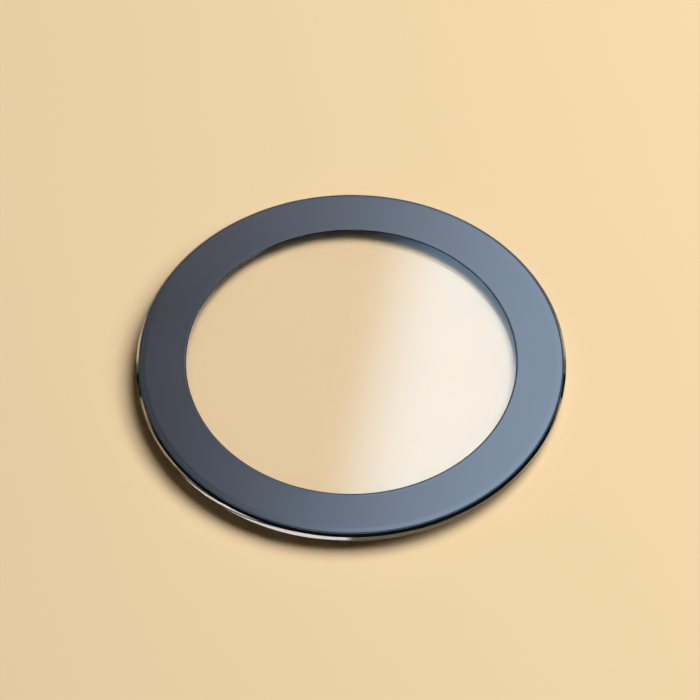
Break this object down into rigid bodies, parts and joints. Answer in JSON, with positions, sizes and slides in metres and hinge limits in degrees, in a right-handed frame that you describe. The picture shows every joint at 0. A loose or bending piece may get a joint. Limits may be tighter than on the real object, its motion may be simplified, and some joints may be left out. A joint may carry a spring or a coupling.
{
  "type": "watch crystal",
  "caption": "Flat round watch crystal of clear sapphire glass with a wide dark printed border round its window, a narrow chamfer on the printed side and a wide bevel round the outer face.",
  "frame": {"origin": "centre of the outer face, the face that lies on the table", "axes": "+Z is the disc's axis and points from the outer face to the printed inner face"},
  "size_m": [0.038, 0.038, 0.0021],
  "materials": {
    "clear_glass": "clear polished glass with a more finely ground rim",
    "black_ink": "opaque glossy black printed coat",
    "satin_ink": "satin blue-black printed coat"
  },
  "bodies": {
    "root": {"crystal_glass": "clear_glass", "mask_base_coat": "black_ink", "mask_top_coat": "satin_ink"}
  },
  "joints": []
}
